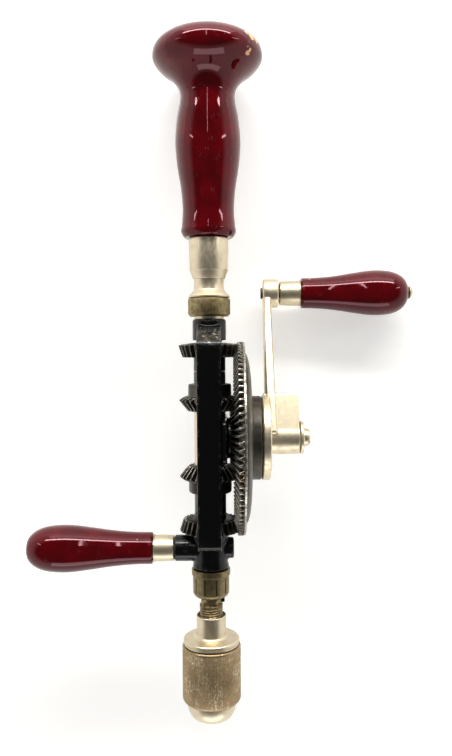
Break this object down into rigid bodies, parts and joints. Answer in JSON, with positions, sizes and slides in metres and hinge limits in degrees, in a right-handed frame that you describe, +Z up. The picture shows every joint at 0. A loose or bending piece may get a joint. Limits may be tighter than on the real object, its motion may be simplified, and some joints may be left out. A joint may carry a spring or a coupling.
{
  "type": "hand drill",
  "caption": "Hand drill with a cranked bevel wheel, a black two-bar frame, red lacquered handles, a ratchet ring and a keyless jaw chuck.",
  "frame": {"origin": "on the spindle's axis, at the seat in the chuck that a bit's end rests on", "axes": "+Y along the spindle towards the main handle, +X along the crank's axle towards the crank, +Z up from the bench that the drill lies on"},
  "size_m": [0.2112, 0.3594, 0.101],
  "materials": {
    "red_lacquer": "glossy burgundy lacquer",
    "worn_nickel": "worn nickel plating",
    "black_enamel": "black enamel worn at the edges",
    "dark_steel": "dark oiled cast iron",
    "aged_brass": "aged, worn",
    "knurled_steel": "aged knurled steel",
    "bronze": "plain bearing bronze",
    "tool_steel": "plain steel"
  },
  "bodies": {
    "frame": {"frame_casting": "black_enamel", "main_handle": "red_lacquer", "handle_socket": "worn_nickel", "handle_bolt": "tool_steel", "socket_pin": "tool_steel", "top_bush": "bronze", "bottom_bush": "bronze", "thrust_race": "tool_steel", "wheel_stud": "tool_steel", "crank_washer": "worn_nickel", "crank_screw": "worn_nickel", "side_handle": "red_lacquer", "side_ferrule": "worn_nickel", "side_stud": "tool_steel"},
    "wheel": {"drive_wheel": "dark_steel", "crank": "worn_nickel", "drive_pin_1": "tool_steel", "drive_pin_2": "tool_steel", "crank_pin": "worn_nickel"},
    "grip": {"crank_grip": "red_lacquer", "grip_ferrule": "worn_nickel"},
    "outer_pinion_top": {"outer_pinion_top": "dark_steel"},
    "inner_pinion_top": {"inner_pinion_top": "dark_steel"},
    "inner_pinion_bottom": {"inner_pinion_bottom": "dark_steel"},
    "outer_pinion_bottom": {"outer_pinion_bottom": "dark_steel"},
    "spindle": {"spindle": "tool_steel", "spindle_pin": "tool_steel", "spacer_sleeve": "worn_nickel", "chuck_body": "worn_nickel"},
    "shift_rod": {"shift_rod": "tool_steel", "shift_key": "tool_steel"},
    "shift_slider": {"shift_slider": "bronze"},
    "speed_collar": {"speed_collar": "aged_brass"},
    "ratchet_ring": {"ratchet_ring": "aged_brass", "pawl_1": "tool_steel", "pawl_2": "tool_steel", "ratchet_detent": "tool_steel"},
    "ball_cage": {"ball_cage": "tool_steel"},
    "chuck_sleeve": {"chuck_sleeve": "knurled_steel", "chuck_nut_front": "tool_steel", "chuck_nut_back": "tool_steel"},
    "jaw_1": {"jaw_1": "tool_steel"},
    "jaw_2": {"jaw_2": "tool_steel"},
    "jaw_3": {"jaw_3": "tool_steel"}
  },
  "joints": [
    {"name": "wheel_turn", "type": "hinge", "parent": "frame", "child": "wheel", "pos_m": [0.02, 0.1133, 0], "axis": [1, 0, 0], "continuous": true},
    {"name": "grip_spin", "type": "hinge", "parent": "wheel", "child": "grip", "pos_m": [0.06, 0.19082, -0.02822], "axis": [1, 0, 0], "continuous": true},
    {"name": "outer_pinion_top_turn", "type": "hinge", "parent": "frame", "child": "outer_pinion_top", "pos_m": [0, 0.1133, 0], "axis": [0, 1, 0], "continuous": true},
    {"name": "inner_pinion_top_turn", "type": "hinge", "parent": "frame", "child": "inner_pinion_top", "pos_m": [0, 0.1133, 0], "axis": [0, 1, 0], "continuous": true},
    {"name": "inner_pinion_bottom_turn", "type": "hinge", "parent": "frame", "child": "inner_pinion_bottom", "pos_m": [0, 0.1133, 0], "axis": [0, 1, 0], "continuous": true},
    {"name": "outer_pinion_bottom_turn", "type": "hinge", "parent": "frame", "child": "outer_pinion_bottom", "pos_m": [0, 0.1133, 0], "axis": [0, 1, 0], "continuous": true},
    {"name": "spindle_turn", "type": "hinge", "parent": "frame", "child": "spindle", "pos_m": [0, 0.05, 0], "axis": [0, 1, 0], "continuous": true},
    {"name": "cage_turn", "type": "hinge", "parent": "frame", "child": "ball_cage", "pos_m": [0, 0.17, 0], "axis": [0, 1, 0], "continuous": true},
    {"name": "speed_collar_turn", "type": "hinge", "parent": "frame", "child": "speed_collar", "pos_m": [0, 0.18, 0], "axis": [0, 1, 0], "range_deg": [0, 90]},
    {"name": "slider_shift", "type": "slide", "parent": "frame", "child": "shift_slider", "axis": [0, 1, 0], "range_m": [0, 0.01]},
    {"name": "rod_shift", "type": "slide", "parent": "spindle", "child": "shift_rod", "axis": [0, 1, 0], "range_m": [0, 0.01]},
    {"name": "ratchet_set", "type": "hinge", "parent": "spindle", "child": "ratchet_ring", "pos_m": [0, 0.035, 0], "axis": [0, 1, 0], "range_deg": [-40, 40]},
    {"name": "chuck_sleeve_turn", "type": "hinge", "parent": "spindle", "child": "chuck_sleeve", "pos_m": [0, -0.01, 0], "axis": [0, 1, 0], "range_deg": [0, 3150]},
    {"name": "jaw_1_slide", "type": "slide", "parent": "spindle", "child": "jaw_1", "axis": [0, -0.9659, 0.2588], "range_m": [0, 0.0175]},
    {"name": "jaw_2_slide", "type": "slide", "parent": "spindle", "child": "jaw_2", "axis": [0.2241, -0.9659, -0.1294], "range_m": [0, 0.0175]},
    {"name": "jaw_3_slide", "type": "slide", "parent": "spindle", "child": "jaw_3", "axis": [-0.2241, -0.9659, -0.1294], "range_m": [0, 0.0175]}
  ],
  "couplings": [
    {"joint": "outer_pinion_top_turn", "follows": "wheel_turn", "ratio": -3.2143},
    {"joint": "inner_pinion_top_turn", "follows": "wheel_turn", "ratio": -1.3571},
    {"joint": "inner_pinion_bottom_turn", "follows": "wheel_turn", "ratio": 1.3571},
    {"joint": "outer_pinion_bottom_turn", "follows": "wheel_turn", "ratio": 3.2143},
    {"joint": "spindle_turn", "follows": "wheel_turn", "ratio": 3.2143},
    {"joint": "cage_turn", "follows": "wheel_turn", "ratio": 1.6071},
    {"joint": "slider_shift", "follows": "speed_collar_turn", "m_per_rad": 0.006366},
    {"joint": "rod_shift", "follows": "speed_collar_turn", "m_per_rad": 0.006366},
    {"joint": "jaw_1_slide", "follows": "chuck_sleeve_turn", "m_per_rad": 0.000318},
    {"joint": "jaw_2_slide", "follows": "chuck_sleeve_turn", "m_per_rad": 0.000318},
    {"joint": "jaw_3_slide", "follows": "chuck_sleeve_turn", "m_per_rad": 0.000318}
  ]
}
